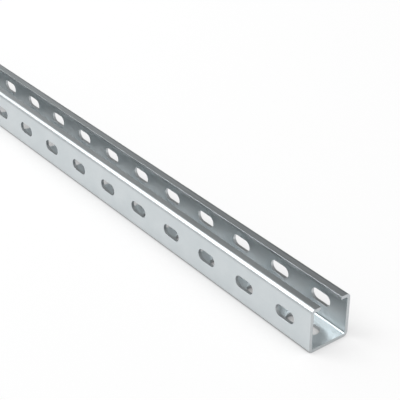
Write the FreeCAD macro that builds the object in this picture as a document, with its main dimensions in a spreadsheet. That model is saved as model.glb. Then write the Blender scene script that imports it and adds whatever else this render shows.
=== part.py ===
import FreeCAD, Part
import math
import os
import Sketcher

# C-profile mounting rail: one length of roll-formed, zinc-plated steel strip.
# The section is a square C with its open side up. Two plain lips turn in at the
# mouth. Rows of long slots run the whole length: one row in each side wall,
# level with each other, and one row of larger slots in the base below them.
#
# Frame: X runs along the rail, Y across it and Z up. The origin is in the middle
# of the length, on the centre line of the base, at floor level. The end from
# which the slots are counted is the one at +X.

SIZES = [
    ("rail_length", 1000.0, "stock length"),
    ("rail_width", 41.0, "outside width across the two side walls"),
    ("rail_height", 41.0, "outside height from the base to the lips"),
    ("sheet_thickness", 3.0, "thickness of the steel strip"),
    ("bend_radius", 1.25, "inside radius of every bend"),
    ("lip_width", 9.75, "width of each lip, from the outside of its wall"),
    ("slot_pitch", 50.0, "distance from slot to slot along the rail"),
    ("first_slot", 29.5, "from the end at +X to the middle of the first slots"),
    ("side_slot_length", 22.0, "length of a side slot over its round ends"),
    ("side_slot_width", 11.0, "height of a side slot"),
    ("side_slot_level", 21.25, "from the floor up to the middle of a side slot"),
    ("base_slot_length", 34.0, "length of a base slot over its round ends"),
    ("base_slot_width", 13.0, "width of a base slot"),
    ("end_land", 3.0, "least metal left between the last slots and the cut end"),
]

doc = FreeCAD.newDocument("c_profile_rail")

sheet = doc.addObject("Spreadsheet::Sheet", "Sizes")
for row, (alias, value, note) in enumerate(SIZES, start=1):
    sheet.set("A%d" % row, alias)
    sheet.set("B%d" % row, str(value))
    sheet.set("C%d" % row, note)
    sheet.setAlias("B%d" % row, alias)
doc.recompute()


def size(alias):
    return float(sheet.get(alias))


rail = doc.addObject("PartDesign::Body", "Rail")
rail.Label = "c_profile_rail"


def origin_feature(role):
    for feature in rail.Origin.OriginFeatures:
        if feature.Role == role:
            return feature
    raise RuntimeError("no origin feature " + role)


def new_sketch(name, plane):
    sketch = rail.newObject("Sketcher::SketchObject", name)
    sketch.AttachmentSupport = [(origin_feature(plane), "")]
    sketch.MapMode = "FlatFace"
    doc.recompute()
    return sketch


def drive(sketch, constraint, name, expression):
    # gives a sketch dimension a name and ties it to the sheet
    index = sketch.addConstraint(constraint)
    sketch.renameConstraint(index, name)
    sketch.setExpression("Constraints." + name, expression)
    return index


def check(stage):
    doc.recompute()
    for item in doc.Objects:
        if "Invalid" in item.State or "Error" in item.State:
            raise RuntimeError("%s: %s is %s" % (stage, item.Name, item.State))
    return rail.Shape.Volume


# Section of the strip, drawn with sharp corners on the plane across the rail.
# Across is the sketch's first axis, up its second. The corners run round the
# outside from one lip tip to the other and back along the inside.
half = size("rail_width") / 2
high = size("rail_height")
thick = size("sheet_thickness")
lip = size("lip_width")
corners = [
    (-half + lip, high),
    (-half, high),
    (-half, 0.0),
    (half, 0.0),
    (half, high),
    (half - lip, high),
    (half - lip, high - thick),
    (half - thick, high - thick),
    (half - thick, thick),
    (-half + thick, thick),
    (-half + thick, high - thick),
    (-half + lip, high - thick),
]
LIP_TOP_FRONT, WALL_FRONT, BASE, WALL_REAR, LIP_TOP_REAR, TIP_REAR = range(6)
LIP_UNDER_REAR, INSIDE_REAR, FLOOR, INSIDE_FRONT, LIP_UNDER_FRONT, TIP_FRONT = range(6, 12)
UPRIGHT = (WALL_FRONT, WALL_REAR, TIP_REAR, INSIDE_REAR, INSIDE_FRONT, TIP_FRONT)

section = new_sketch("Section", "YZ_Plane")
for start, end in zip(corners, corners[1:] + corners[:1]):
    start_point = FreeCAD.Vector(start[0], start[1], 0)
    end_point = FreeCAD.Vector(end[0], end[1], 0)
    section.addGeometry(Part.LineSegment(start_point, end_point), False)
for line in range(len(corners)):
    following = (line + 1) % len(corners)
    section.addConstraint(Sketcher.Constraint("Coincident", line, 2, following, 1))
    if line in UPRIGHT:
        section.addConstraint(Sketcher.Constraint("Vertical", line))
    elif line not in (BASE, FLOOR):
        section.addConstraint(Sketcher.Constraint("Horizontal", line))

# The base lies at floor level and the section is the same on both sides.
section.addConstraint(Sketcher.Constraint("PointOnObject", BASE, 1, -1))
section.addConstraint(Sketcher.Constraint("Symmetric", BASE, 1, BASE, 2, -2))
section.addConstraint(Sketcher.Constraint("Symmetric", FLOOR, 1, FLOOR, 2, -2))
section.addConstraint(Sketcher.Constraint("Symmetric", LIP_TOP_FRONT, 1, LIP_TOP_REAR, 2, -2))
section.addConstraint(Sketcher.Constraint("Horizontal", LIP_UNDER_FRONT, 2, LIP_UNDER_REAR, 1))

drive(section, Sketcher.Constraint("DistanceX", BASE, 1, BASE, 2, 2 * half),
      "width", "Sizes.rail_width")
drive(section, Sketcher.Constraint("DistanceY", WALL_REAR, 1, WALL_REAR, 2, high),
      "height", "Sizes.rail_height")
drive(section, Sketcher.Constraint("DistanceX", LIP_TOP_FRONT, 2, LIP_TOP_FRONT, 1, lip),
      "lip", "Sizes.lip_width")
drive(section, Sketcher.Constraint("DistanceX", FLOOR, 1, BASE, 2, thick),
      "wall_thickness", "Sizes.sheet_thickness")
drive(section, Sketcher.Constraint("DistanceY", BASE, 1, FLOOR, 2, thick),
      "base_thickness", "Sizes.sheet_thickness")
drive(section, Sketcher.Constraint("DistanceY", LIP_UNDER_REAR, 1, LIP_TOP_REAR, 2, thick),
      "lip_thickness", "Sizes.sheet_thickness")

strip = rail.newObject("PartDesign::Pad", "Strip")
strip.Profile = section
strip.SideType = "Symmetric"
strip.setExpression("Length", "Sizes.rail_length")
check("strip")


# The four bends. Inside and outside of each bend share one centre, so the sheet
# keeps its thickness round the bend.
def long_edges(feature, across, up):
    # names the edges that run from end to end at the given places of the section
    found = []
    for number, edge in enumerate(feature.Shape.Edges, start=1):
        start, end = edge.Vertexes[0].Point, edge.Vertexes[-1].Point
        runs_along = abs(start.x - end.x) > size("rail_length") / 2
        at_side = abs(abs(start.y) - across) < thick / 10
        at_level = any(abs(start.z - level) < thick / 10 for level in up)
        if runs_along and at_side and at_level:
            found.append("Edge%d" % number)
    if len(found) != 4:
        raise RuntimeError("found %d bend edges" % len(found))
    return found


inner_bends = rail.newObject("PartDesign::Fillet", "InsideBends")
inner_bends.Base = (strip, long_edges(strip, half - thick, [thick, high - thick]))
inner_bends.setExpression("Radius", "Sizes.bend_radius")
check("inside bends")

outer_bends = rail.newObject("PartDesign::Fillet", "OutsideBends")
outer_bends.Base = (inner_bends, long_edges(inner_bends, half, [0.0, high]))
outer_bends.setExpression("Radius", "Sizes.bend_radius + Sizes.sheet_thickness")
solid_volume = check("outside bends")


# Slots have straight sides and full round ends, and lie along the rail.
def slot_sketch(name, plane, length, width, up):
    sketch = new_sketch(name, plane)
    radius = size(width) / 2
    reach = (size(length) - size(width)) / 2
    middle = size("rail_length") / 2 - size("first_slot")
    rise = 0.0 if up is None else size(up)
    near = FreeCAD.Vector(middle + reach, rise, 0)
    far = FreeCAD.Vector(middle - reach, rise, 0)
    out = FreeCAD.Vector(0, radius, 0)
    normal = FreeCAD.Vector(0, 0, 1)
    right_angle = math.pi / 2
    near_arc = Part.ArcOfCircle(Part.Circle(near, normal, radius), -right_angle, right_angle)
    far_arc = Part.ArcOfCircle(Part.Circle(far, normal, radius), right_angle, 3 * right_angle)
    near_end = sketch.addGeometry(near_arc, False)
    top = sketch.addGeometry(Part.LineSegment(near + out, far + out), False)
    far_end = sketch.addGeometry(far_arc, False)
    bottom = sketch.addGeometry(Part.LineSegment(far - out, near - out), False)
    for one, two in ((near_end, top), (top, far_end), (far_end, bottom), (bottom, near_end)):
        sketch.addConstraint(Sketcher.Constraint("Tangent", one, 2, two, 1))
    sketch.addConstraint(Sketcher.Constraint("Equal", near_end, far_end))
    sketch.addConstraint(Sketcher.Constraint("Horizontal", top))
    drive(sketch, Sketcher.Constraint("Radius", near_end, radius),
          "end_radius", "Sizes.%s / 2" % width)
    drive(sketch, Sketcher.Constraint("DistanceX", far_end, 3, near_end, 3, 2 * reach),
          "straight", "Sizes.%s - Sizes.%s" % (length, width))
    drive(sketch, Sketcher.Constraint("DistanceX", -1, 1, near_end, 3, middle + reach),
          "from_middle",
          "Sizes.rail_length / 2 - Sizes.first_slot + (Sizes.%s - Sizes.%s) / 2" % (length, width))
    if up is None:
        sketch.addConstraint(Sketcher.Constraint("PointOnObject", near_end, 3, -1))
    else:
        drive(sketch, Sketcher.Constraint("DistanceY", -1, 1, near_end, 3, rise),
              "rise", "Sizes.%s" % up)
    doc.recompute()
    return sketch


# One slot through both side walls, a little above the middle of their height.
side_slot = rail.newObject("PartDesign::Pocket", "SideSlot")
side_slot.Profile = slot_sketch(
    "SideSlotOutline", "XZ_Plane", "side_slot_length", "side_slot_width", "side_slot_level")
side_slot.SideType = "Symmetric"
side_slot.Type = "Length"
side_slot.setExpression("Length", "Sizes.rail_width + 2 * Sizes.sheet_thickness")
side_volume = check("side slot")

# One slot up through the base, on its centre line.
base_slot = rail.newObject("PartDesign::Pocket", "BaseSlot")
base_slot.Profile = slot_sketch(
    "BaseSlotOutline", "XY_Plane", "base_slot_length", "base_slot_width", None)
base_slot.Type = "Length"
base_slot.Reversed = True
base_slot.setExpression("Length", "2 * Sizes.sheet_thickness")
base_volume = check("base slot")


def slot_area(length, width):
    radius = size(width) / 2
    return math.pi * radius ** 2 + 2 * radius * (size(length) - size(width))


def compare(what, found, wanted):
    # stops the build when a cut has missed metal that it should take
    print("%s: %.2f mm3, wanted %.2f" % (what, found, wanted))
    if abs(found - wanted) > 0.001 * wanted:
        raise RuntimeError(what + " does not have its full volume")


both_sides = 2 * slot_area("side_slot_length", "side_slot_width") * thick
through_base = slot_area("base_slot_length", "base_slot_width") * thick
compare("cut of a pair of side slots", solid_volume - side_volume, both_sides)
compare("cut of a base slot", side_volume - base_volume, through_base)

# The rows of slots, at the same pitch in all three walls, as many as the stock takes.
rows = rail.newObject("PartDesign::LinearPattern", "SlotRows")
rows.Originals = [side_slot, base_slot]
rows.Direction = (origin_feature("X_Axis"), [""])
rows.Reversed = True
rows.Mode = "Spacing"
rows.setExpression("Offset", "Sizes.slot_pitch")
rows.setExpression(
    "Occurrences",
    "floor((Sizes.rail_length - Sizes.first_slot - Sizes.base_slot_length / 2"
    " - Sizes.end_land) / Sizes.slot_pitch) + 1",
)
rail.Tip = rows
final_volume = check("rows")

shape = rail.Shape
if shape.isNull() or not shape.isValid() or len(shape.Solids) != 1:
    raise RuntimeError("the rail is not one valid solid")
print("slots in each row: %d" % rows.Occurrences)
compare("rail", final_volume, solid_volume - rows.Occurrences * (both_sides + through_base))
box = shape.BoundBox
print("box X %.2f..%.2f  Y %.2f..%.2f  Z %.2f..%.2f" % (
    box.XMin, box.XMax, box.YMin, box.YMax, box.ZMin, box.ZMax))

rail.Placement = FreeCAD.Placement()
os.makedirs("parts", exist_ok=True)
rail.Shape.exportStep("parts/%s.step" % rail.Label)
print("wrote parts/%s.step" % rail.Label)
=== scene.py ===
# %% [markdown]
# # A C-profile mounting rail
#
# The real rail starts as a coil of flat steel strip. A press punches the slots into
# it, rolls bend it to a C with its mouth up, and a bath gives it a thin, smooth,
# bluish coat of zinc. This lesson models it in that order: the flats with their
# slots first, the bends between them, then the thickness, and the zinc last.
#
# Everything is in metres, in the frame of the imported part: X runs along the rail,
# Y across it and Z up. The origin is under the middle of the base.

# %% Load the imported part
import math

import bmesh
import bpy
from mathutils import Matrix, Vector


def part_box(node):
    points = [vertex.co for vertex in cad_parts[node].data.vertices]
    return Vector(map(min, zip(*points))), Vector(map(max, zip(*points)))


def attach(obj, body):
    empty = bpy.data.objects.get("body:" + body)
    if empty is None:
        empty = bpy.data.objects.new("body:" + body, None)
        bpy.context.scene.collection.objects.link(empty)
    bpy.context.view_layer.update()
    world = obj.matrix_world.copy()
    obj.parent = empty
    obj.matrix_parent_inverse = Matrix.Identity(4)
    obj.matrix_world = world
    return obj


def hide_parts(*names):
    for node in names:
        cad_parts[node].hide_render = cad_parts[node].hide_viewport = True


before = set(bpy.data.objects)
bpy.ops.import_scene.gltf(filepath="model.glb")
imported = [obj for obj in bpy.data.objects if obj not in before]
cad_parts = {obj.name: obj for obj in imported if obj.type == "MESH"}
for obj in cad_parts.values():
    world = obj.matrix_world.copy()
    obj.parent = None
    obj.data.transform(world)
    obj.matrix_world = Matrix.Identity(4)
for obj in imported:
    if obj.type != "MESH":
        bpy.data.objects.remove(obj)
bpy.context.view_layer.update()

NODE = "c_profile_rail"
MILLIMETRE = 0.001
low, high = (Vector(corner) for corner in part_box(NODE))
print("packed rail, in mm:", [round(side / MILLIMETRE, 2) for side in high - low])

# %% [markdown]
# ## The sizes of the section and the slots
#
# Length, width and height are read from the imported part. The rest is what the
# part's source gives: the thickness of the strip, the bends, the lips, and the
# slots with their pitch. A slot is given by its length and its width.

# %% Sizes
LENGTH = high.x - low.x
WIDTH = high.y - low.y
HEIGHT = high.z - low.z
SHEET = 0.003
INSIDE_BEND = 0.00125
OUTSIDE_BEND = INSIDE_BEND + SHEET
LIP = 0.00975
PITCH = 0.050
FIRST_SLOT = 0.0295
SIDE_SLOT = (0.022, 0.011)
SIDE_SLOT_LEVEL = 0.02125
BASE_SLOT = (0.034, 0.013)
SLOTS_IN_A_ROW = 20


def slot_middle(number):
    """Place along the rail of slot 0, 1, 2 and so on, counted from the end at +X."""
    return high.x - FIRST_SLOT - PITCH * number


last_edge = slot_middle(SLOTS_IN_A_ROW - 1) - BASE_SLOT[0] / 2
print("rail:", round(LENGTH, 3), "m long; its last base slot ends",
      round((last_edge - low.x) / MILLIMETRE, 2), "mm from the cut")

# %% [markdown]
# ## The flats with their slots
#
# A flat is an outline with holes in it. A slot's end is half a turn of a point, and
# two such ends joined by straight edges are the slot, which is how a slotting punch
# is ground. The outlines of the flat and of its slots are filled together, and the
# fill leaves the holes open. A Boolean could cut the slots too, but it leaves a
# mesh that is harder to read. The flats carry the outside of the section: the
# thickness comes later and grows inwards.

# %% Pick out what an operator returns
def new_edges(result, key="geom"):
    """The edges among what an operator returns."""
    return [item for item in result[key] if isinstance(item, bmesh.types.BMEdge)]


def new_verts(result, key="geom"):
    """The vertices among what an operator returns."""
    return [item for item in result[key] if isinstance(item, bmesh.types.BMVert)]


# %% The outline of a slot
SLOT_END_STEPS = 16


def add_slot(bm, middle, size, rise):
    """Adds a slot's outline to the XY plane and returns its edges and vertices."""
    length, width = size
    reach = (length - width) / 2
    edges, verts, last = [], [], None
    for end in (1, -1):
        centre = Vector((middle + end * reach, rise, 0))
        first = bm.verts.new(centre - Vector((0, end * width / 2, 0)))
        if last:
            edges.append(bm.edges.new((last, first)))
        before = set(bm.edges)
        turn = bmesh.ops.spin(bm, geom=[first], cent=centre, axis=(0, 0, 1),
                              angle=math.pi, steps=SLOT_END_STEPS, use_merge=False)
        edges += [edge for edge in bm.edges if edge not in before]
        last = new_verts(turn, "geom_last")[0]
        verts.append(first)
    edges.append(bm.edges.new((last, verts[0])))
    return edges, list({vert for edge in edges for vert in edge.verts})


trial = bmesh.new()
outline = add_slot(trial, 0.0, SIDE_SLOT, 0.0)[0]
print("a side slot:", len(outline), "edges,",
      round(sum(part.calc_length() for part in outline) / MILLIMETRE, 2), "mm round")
trial.free()


# %% A punched flat
def punched_flat(bm, breadth, slot_size=None, rise=0.0):
    """Adds a flat of the rail's length to the XY plane, with slots that lie rise above X."""
    corners = [(low.x, -breadth / 2, 0), (high.x, -breadth / 2, 0),
               (high.x, breadth / 2, 0), (low.x, breadth / 2, 0)]
    verts = [bm.verts.new(corner) for corner in corners]
    edges = [bm.edges.new((verts[i - 1], verts[i])) for i in range(4)]
    if slot_size:
        for number in range(SLOTS_IN_A_ROW):
            slot_edges, slot_verts = add_slot(bm, slot_middle(number), slot_size, rise)
            edges += slot_edges
            verts += slot_verts
    bmesh.ops.triangle_fill(bm, edges=edges, use_beauty=True, normal=(0, 0, 1))
    return verts


# %% The five flats
LEAD_IN = 0.0003
BASE_FLAT = WIDTH - 2 * (OUTSIDE_BEND + LEAD_IN)
WALL_FLAT = HEIGHT - 2 * (OUTSIDE_BEND + LEAD_IN)
LIP_FLAT = LIP - OUTSIDE_BEND - LEAD_IN
QUARTER_TURN = math.radians(90)

strip_mesh = bmesh.new()
punched_flat(strip_mesh, BASE_FLAT, BASE_SLOT)
for side in (-1, 1):
    wall = punched_flat(strip_mesh, WALL_FLAT, SIDE_SLOT, SIDE_SLOT_LEVEL - HEIGHT / 2)
    stand_up = Matrix.Rotation(QUARTER_TURN, 3, "X")
    bmesh.ops.rotate(strip_mesh, verts=wall, matrix=stand_up)
    bmesh.ops.translate(strip_mesh, verts=wall, vec=(0, side * WIDTH / 2, HEIGHT / 2))
    lip = punched_flat(strip_mesh, LIP_FLAT)
    lip_middle = side * (WIDTH / 2 - LIP + LIP_FLAT / 2)
    bmesh.ops.translate(strip_mesh, verts=lip, vec=(0, lip_middle, HEIGHT))
print("flats:", len(strip_mesh.faces), "faces")

# %% [markdown]
# ## The bends
#
# Each bend is a quarter turn about an axis that runs along the rail. The edge of a
# flat is spun about that axis, which is the motion that the rolls give it, and it
# ends on the edge of the next flat. A Bevel on a square corner would give the same
# arc, but the spin keeps its axis and its steps in plain sight. A lead-in of a third
# of a millimetre on either side of the bend keeps its shading off the wide flats.

# %% Spin the four bends
BEND_STEPS = 10
MERGE_WITHIN = 1e-6


def carry_on(bm, edges, step):
    """Extrudes edges by a step and returns the new ones."""
    result = bmesh.ops.extrude_edge_only(bm, edges=edges)
    moved = new_verts(result)
    bmesh.ops.translate(bm, verts=moved, vec=step)
    return [edge for edge in new_edges(result) if all(vert in moved for vert in edge.verts)]


for side in (-1, 1):
    for level, turn in ((0.0, 1), (HEIGHT, -1)):
        axis_place = Vector((0, side * (WIDTH / 2 - OUTSIDE_BEND), level + turn * OUTSIDE_BEND))
        start = axis_place.y - side * LEAD_IN
        ends = [strip_mesh.verts.new((x, start, level)) for x in (low.x, high.x)]
        edges = [strip_mesh.edges.new(ends)]
        edges = carry_on(strip_mesh, edges, (0, side * LEAD_IN, 0))
        bend = bmesh.ops.spin(
            strip_mesh, geom=edges + list(edges[0].verts), cent=axis_place, axis=(1, 0, 0),
            angle=QUARTER_TURN * side * turn, steps=BEND_STEPS, use_merge=False)
        carry_on(strip_mesh, new_edges(bend, "geom_last"), (0, 0, turn * LEAD_IN))
bmesh.ops.remove_doubles(strip_mesh, verts=strip_mesh.verts, dist=MERGE_WITHIN)
bmesh.ops.recalc_face_normals(strip_mesh, faces=strip_mesh.faces)
open_edges = [edge for edge in strip_mesh.edges if len(edge.link_faces) == 1]
loose_edges = [edge for edge in strip_mesh.edges if not edge.link_faces]
print("strip:", len(strip_mesh.faces), "faces,", len(open_edges), "open edges,",
      len(loose_edges), "loose")

# %% [markdown]
# ## Thickness and sheared edges
#
# The strip is one even sheet, so its thickness is a Solidify that grows inwards from
# the outside of the section. Made by hand, the inside would need every bend and every
# slot a second time. Its rim, which is the wall of every slot and the two cut ends,
# takes the second material. A punch and a saw leave an edge that is not razor sharp,
# and a Bevel of a fifth of a millimetre gives it the thin line of light that a real
# edge has.

# %% Make the strip an object
EDGE_ROUND = 0.0002
EDGE_STEPS = 2
SHARP_ANGLE = math.radians(40)
RIM_FINISH = 1


def new_object(name, data):
    """An object of the data, linked into the scene at the origin."""
    made = bpy.data.objects.new(name, data)
    bpy.context.scene.collection.objects.link(made)
    return made


strip_data = bpy.data.meshes.new("rail_strip")
strip_mesh.to_mesh(strip_data)
strip_mesh.free()
strip_data.shade_smooth()
rail_strip = new_object("rail_strip", strip_data)

sheet = rail_strip.modifiers.new("sheet", "SOLIDIFY")
sheet.thickness = SHEET
sheet.offset = -1
sheet.use_even_offset = True
sheet.material_offset_rim = RIM_FINISH

edge = rail_strip.modifiers.new("sheared_edge", "BEVEL")
edge.width = EDGE_ROUND
edge.segments = EDGE_STEPS
edge.limit_method = "ANGLE"
edge.angle_limit = SHARP_ANGLE
edge.harden_normals = True

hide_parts(NODE)
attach(rail_strip, "root")
bpy.context.view_layer.update()
lowest, highest = rail_strip.bound_box[0], rail_strip.bound_box[6]
print("strip, in mm: from", [round(v / MILLIMETRE, 2) for v in lowest],
      "to", [round(v / MILLIMETRE, 2) for v in highest])

# %% [markdown]
# ## Two patterns for the coat
#
# Rolled steel is never quite even. The rolls leave faint lines that run along the
# strip, and the bath leaves soft clouds in the zinc. Both show through a thin coat,
# and both are patterns in the steel's own place, so they are read off Object
# coordinates. Each is a node group, because the flats and the cut edges use them with
# other numbers. Noise that is stretched along X makes the lines, and plain noise makes
# the clouds. A picture of scratches would do the same, but it would need to be
# unwrapped round every slot.

# %% A pattern's sockets and its noise
NOISE_MIDDLE = 0.5
NOISE_SPREAD = 0.2


def new_pattern(name, per_metre):
    """An empty group that turns a place into a value, with its input and output nodes."""
    group = bpy.data.node_groups.new(name, "ShaderNodeTree")
    group.interface.new_socket("Place", in_out="INPUT", socket_type="NodeSocketVector")
    for label, value in (("Per Metre", per_metre), ("Low", 0.0), ("High", 1.0)):
        socket = group.interface.new_socket(label, in_out="INPUT", socket_type="NodeSocketFloat")
        socket.default_value = value
    group.interface.new_socket("Value", in_out="OUTPUT", socket_type="NodeSocketFloat")
    return group, group.nodes.new("NodeGroupInput"), group.nodes.new("NodeGroupOutput")


def noise_to_range(group, inside, outside, place, detail):
    """Noise at a place, spread out and set between the group's Low and High."""
    noise = group.nodes.new("ShaderNodeTexNoise")
    noise.inputs["Detail"].default_value = detail
    group.links.new(place, noise.inputs["Vector"])
    group.links.new(inside.outputs["Per Metre"], noise.inputs["Scale"])
    fit = group.nodes.new("ShaderNodeMapRange")
    fit.inputs["From Min"].default_value = NOISE_MIDDLE - NOISE_SPREAD
    fit.inputs["From Max"].default_value = NOISE_MIDDLE + NOISE_SPREAD
    group.links.new(noise.outputs["Fac"], fit.inputs["Value"])
    group.links.new(inside.outputs["Low"], fit.inputs["To Min"])
    group.links.new(inside.outputs["High"], fit.inputs["To Max"])
    group.links.new(fit.outputs["Result"], outside.inputs["Value"])


# %% Node groups for lines and clouds
ALONG_SHARE = 0.012
LINE_DETAIL = 2.0
CLOUD_DETAIL = 3.0

roll_lines, inside, outside = new_pattern("roll_lines", 900.0)
stretch = roll_lines.nodes.new("ShaderNodeVectorMath")
stretch.operation = "MULTIPLY"
stretch.inputs[1].default_value = (ALONG_SHARE, 1, 1)
roll_lines.links.new(inside.outputs["Place"], stretch.inputs[0])
noise_to_range(roll_lines, inside, outside, stretch.outputs["Vector"], LINE_DETAIL)

coat_clouds, inside, outside = new_pattern("coat_clouds", 40.0)
noise_to_range(coat_clouds, inside, outside, inside.outputs["Place"], CLOUD_DETAIL)
print("patterns:", roll_lines.name, "and", coat_clouds.name)

# %% [markdown]
# ## Zinc
#
# The bath lays a thin, bright, faintly blue coat on the steel. It is smooth enough to
# throw soft reflections, and rough enough to blur them. On the flats and the bends the
# coat shows the clouds in its colour and the roll lines in its roughness, with a bump
# of a thousandth of a millimetre. The walls of the slots and the two cut ends were
# sheared, so the coat there lies on a torn surface: it is duller and grainier, has no
# roll lines, and its bump is a hundredth of a millimetre. That is why they have a
# material of their own.

# %% Place a pattern in a material
def pattern(tree, group, place, per_metre, low_value, high_value):
    """Places a pattern in a material with its own numbers."""
    node = tree.nodes.new("ShaderNodeGroup")
    node.node_tree = group
    tree.links.new(place, node.inputs["Place"])
    for label, number in (("Per Metre", per_metre), ("Low", low_value), ("High", high_value)):
        node.inputs[label].default_value = number
    return node.outputs["Value"]


# %% A coat of zinc
def zinc_coat(name, dull, bright, clouds_per_metre, roughness, grain, grain_per_metre, grain_depth):
    """Zinc whose colour goes from dull to bright, with a grain in its roughness and its bump."""
    zinc = bpy.data.materials.new(name)
    zinc.use_nodes = True
    tree = zinc.node_tree
    shader = tree.nodes["Principled BSDF"]
    shader.inputs["Metallic"].default_value = 1.0
    place = tree.nodes.new("ShaderNodeTexCoord").outputs["Object"]
    shade = tree.nodes.new("ShaderNodeMix")
    shade.data_type = "RGBA"
    shade.inputs["A"].default_value = (*dull, 1)
    shade.inputs["B"].default_value = (*bright, 1)
    clouds = pattern(tree, coat_clouds, place, clouds_per_metre, 0.0, 1.0)
    tree.links.new(clouds, shade.inputs["Factor"])
    tree.links.new(shade.outputs["Result"], shader.inputs["Base Color"])
    gloss = pattern(tree, grain, place, grain_per_metre, *roughness)
    tree.links.new(gloss, shader.inputs["Roughness"])
    relief = tree.nodes.new("ShaderNodeBump")
    relief.inputs["Distance"].default_value = grain_depth
    ridges = pattern(tree, grain, place, grain_per_metre, 0.0, 1.0)
    tree.links.new(ridges, relief.inputs["Height"])
    tree.links.new(relief.outputs["Normal"], shader.inputs["Normal"])
    return zinc


# %% Zinc on the flats and on the sheared edges
ROLLED = dict(dull=(0.598, 0.643, 0.66), bright=(0.648, 0.687, 0.702), clouds_per_metre=40.0,
              roughness=(0.33, 0.38), grain=roll_lines, grain_per_metre=900.0,
              grain_depth=0.001 * MILLIMETRE)
SHEARED = dict(dull=(0.50, 0.53, 0.545), bright=(0.60, 0.63, 0.64), clouds_per_metre=600.0,
               roughness=(0.34, 0.46), grain=coat_clouds, grain_per_metre=2500.0,
               grain_depth=0.01 * MILLIMETRE)

strip_data.materials.append(zinc_coat("zinc_plating", **ROLLED))
strip_data.materials.append(zinc_coat("zinc_on_sheared_edge", **SHEARED))
print("finishes:", [material.name for material in strip_data.materials])

# %% [markdown]
# ## The floor
#
# The photograph has a plain white ground with no edge in sight, on which the rail
# throws only a soft shade. A very large matt square does that. Nearly a third of its
# white comes from the lamps, which keeps the rail's shadow. The rest is a glow for the
# camera and for reflections. It is worked out from the kind of ray, so it lights no
# matt surface, and the metal only mirrors it. A glow alone would look the same under
# the rail as beside it, so an Ambient Occlusion node darkens it there with painted
# shade: a little beside the foot of a wall, where half the sky is hidden, and much
# more under a slot, where most of it is.

# %% Sums in a material
def worked_out(tree, operation, *terms):
    """A Math node of the operation, fed with numbers or with other nodes' outputs."""
    node = tree.nodes.new("ShaderNodeMath")
    node.operation = operation
    for socket, term in zip(node.inputs, terms):
        if isinstance(term, (int, float)):
            socket.default_value = term
        else:
            tree.links.new(term, socket)
    return node.outputs[0]


# %% The paint of the floor
FLOOR_WHITE = 0.3
FLOOR_GLOW = 0.71
SHADE_REACH = 0.06
SHADE_DEPTH = 1.6
SHADE_POWER = 3.0


def floor_paint():
    """Matt white paint, a glow only the camera and reflections see, and painted shade near the
    rail.
    """
    paint = bpy.data.materials.new("floor_paint")
    paint.use_nodes = True
    tree = paint.node_tree
    shader = tree.nodes["Principled BSDF"]
    shader.inputs["Base Color"].default_value = (FLOOR_WHITE, FLOOR_WHITE, FLOOR_WHITE, 1)
    shader.inputs["Roughness"].default_value = 1.0
    shader.inputs["Specular IOR Level"].default_value = 0.0
    shader.inputs["Emission Color"].default_value = (1, 1, 1, 1)
    rays = tree.nodes.new("ShaderNodeLightPath").outputs
    seen = worked_out(tree, "ADD", rays["Is Camera Ray"], rays["Is Glossy Ray"])
    seen = worked_out(tree, "ADD", seen, rays["Is Transmission Ray"])
    seen = worked_out(tree, "MINIMUM", seen, 1.0)
    # Painted shade: the glow is darkened by ambient occlusion beside the rail's foot and under its
    # slots.
    openness = tree.nodes.new("ShaderNodeAmbientOcclusion")
    openness.inputs["Distance"].default_value = SHADE_REACH
    hidden = worked_out(tree, "SUBTRACT", 1.0, openness.outputs["AO"])
    hidden = worked_out(tree, "POWER", hidden, SHADE_POWER)
    shade = worked_out(tree, "MULTIPLY_ADD", hidden, -SHADE_DEPTH, 1.0)
    shade = worked_out(tree, "MAXIMUM", shade, 0.0)
    glow = worked_out(tree, "MULTIPLY", seen, FLOOR_GLOW)
    glow = worked_out(tree, "MULTIPLY", glow, shade)
    tree.links.new(glow, shader.inputs["Emission Strength"])
    return paint


# %% Floor
FLOOR_HALF = 30.0

bm = bmesh.new()
bmesh.ops.create_grid(bm, x_segments=1, y_segments=1, size=FLOOR_HALF)
floor_data = bpy.data.meshes.new("floor")
bm.to_mesh(floor_data)
bm.free()
floor = new_object("floor", floor_data)
floor_data.materials.append(floor_paint())
print("floor:", 2 * FLOOR_HALF, "m square, white", FLOOR_WHITE, "and glow", FLOOR_GLOW)

# %% [markdown]
# ## The lamps
#
# Metal shows its surroundings, so the lamps are read off the metal. The inside of the
# rail is brightest along its rear corner, which two mirrors at a right angle light up
# from high on the camera's left: a small strong softbox. The front bend has a broad
# white line, and that is a larger, weaker softbox further round to the left. Each is an
# area lamp: its place, its size and its glow stand in one line.

# %% Softboxes
LAMP_REACH = 5.0
AIM = Vector((high.x / 2, 0, 0))
LAMPS = (("key_softbox", 226, 52, 2.5, 6.0), ("left_softbox", 183, 48, 3.2, 1.5))


def way_to(azimuth, elevation):
    """The way to an azimuth, counted in degrees from X towards Y, and an elevation."""
    azimuth, elevation = math.radians(azimuth), math.radians(elevation)
    return (math.cos(azimuth) * math.cos(elevation), math.sin(azimuth) * math.cos(elevation),
            math.sin(elevation))


def softbox(name, azimuth, elevation, side, glow):
    """Hangs a square lamp; a glow of 1 is as bright as white paper in full light."""
    lamp = bpy.data.lights.new(name, "AREA")
    lamp.size = side
    lamp.energy = glow * math.pi * side ** 2
    holder = new_object(name, lamp)
    outward = Vector(way_to(azimuth, elevation))
    holder.location = AIM + LAMP_REACH * outward
    holder.rotation_euler = (-outward).to_track_quat("-Z", "Y").to_euler()
    return holder


for name, azimuth, elevation, side, glow in LAMPS:
    holder = softbox(name, azimuth, elevation, side, glow)
    print(name, "at", [round(v, 2) for v in holder.location])

# %% [markdown]
# ## The room
#
# Round the lamps the room is pale, paler overhead, and it has one dark side, behind the
# rail on the left, which is what the lips show. Each is a lobe of light over the
# directions of the world, which fades evenly on all sides of its middle. It could be a
# backdrop of cards, but a lobe has no edge that would show as a line in the metal.

# %% World
ROOM_PALE = 0.54
LOBES = (("dark side", 118, 12, 2.6, -0.52), ("overhead", 300, 70, 3.0, 0.1))


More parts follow.
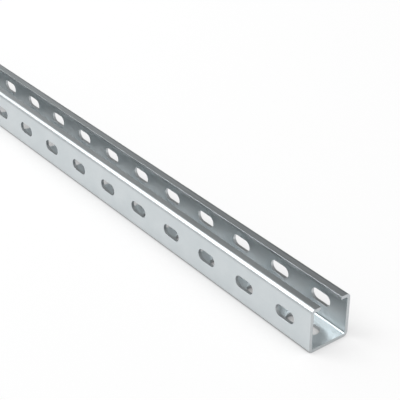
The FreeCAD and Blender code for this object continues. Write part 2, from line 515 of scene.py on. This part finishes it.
def lobe(tree, azimuth, elevation, sharpness, strength, below):
    """Adds strength * exp(sharpness * (cos - 1)) round a direction to the value below."""
    towards = tree.nodes.new("ShaderNodeVectorMath")
    towards.operation = "DOT_PRODUCT"
    tree.links.new(direction, towards.inputs[0])
    towards.inputs[1].default_value = way_to(azimuth, elevation)
    fall = worked_out(tree, "MULTIPLY_ADD", towards.outputs["Value"], sharpness, -sharpness)
    rise = worked_out(tree, "EXPONENT", fall)
    return worked_out(tree, "MULTIPLY_ADD", rise, strength, below)


room = bpy.data.worlds.new("room")
bpy.context.scene.world = room
room.use_nodes = True
room_tree = room.node_tree
direction = room_tree.nodes.new("ShaderNodeTexCoord").outputs["Object"]
glow = ROOM_PALE
for label, azimuth, elevation, sharpness, strength in LOBES:
    glow = lobe(room_tree, azimuth, elevation, sharpness, strength, glow)
    print(label, "at", azimuth, "and", elevation, "degrees, strength", strength)
room_tree.links.new(glow, room_tree.nodes["Background"].inputs["Color"])

# %% [markdown]
# ## The camera
#
# The photograph looks down on the near end of the rail from the front and to the
# right. The camera's place, its turn and its lens were worked out from the straight
# edges of the rail and the even pitch of its slots: parallel edges fix the angles, and
# how fast the slots get smaller fixes the distance. So the lens has the photograph's
# own perspective, and the rail runs out of the picture where the photograph's does.

# %% Camera
PHOTO_PIXELS = 400
SENSOR = 36.0
FOCAL_PIXELS = 1137.9
BEYOND_END, ACROSS, ABOVE = 0.50156, -0.51271, 0.54844
TURN, DIP, ROLL = (math.radians(angle) for angle in (52.432, 30.456, 0.158))

camera_data = bpy.data.cameras.new("photo_camera")
camera_data.sensor_width = SENSOR
camera_data.lens = FOCAL_PIXELS / PHOTO_PIXELS * SENSOR
camera = new_object("photo_camera", camera_data)
camera.location = (high.x + BEYOND_END, ACROSS, ABOVE)
turn = Matrix.Rotation(TURN, 3, "Z")
tilt = Matrix.Rotation(QUARTER_TURN - DIP, 3, "X")
roll = Matrix.Rotation(ROLL, 3, "Z")
camera.rotation_euler = (turn @ tilt @ roll).to_euler()
bpy.context.scene.camera = camera
bpy.context.scene.view_settings.view_transform = "Standard"
print("camera at", [round(v, 3) for v in camera.location], "with a lens of",
      round(camera_data.lens, 1), "mm")
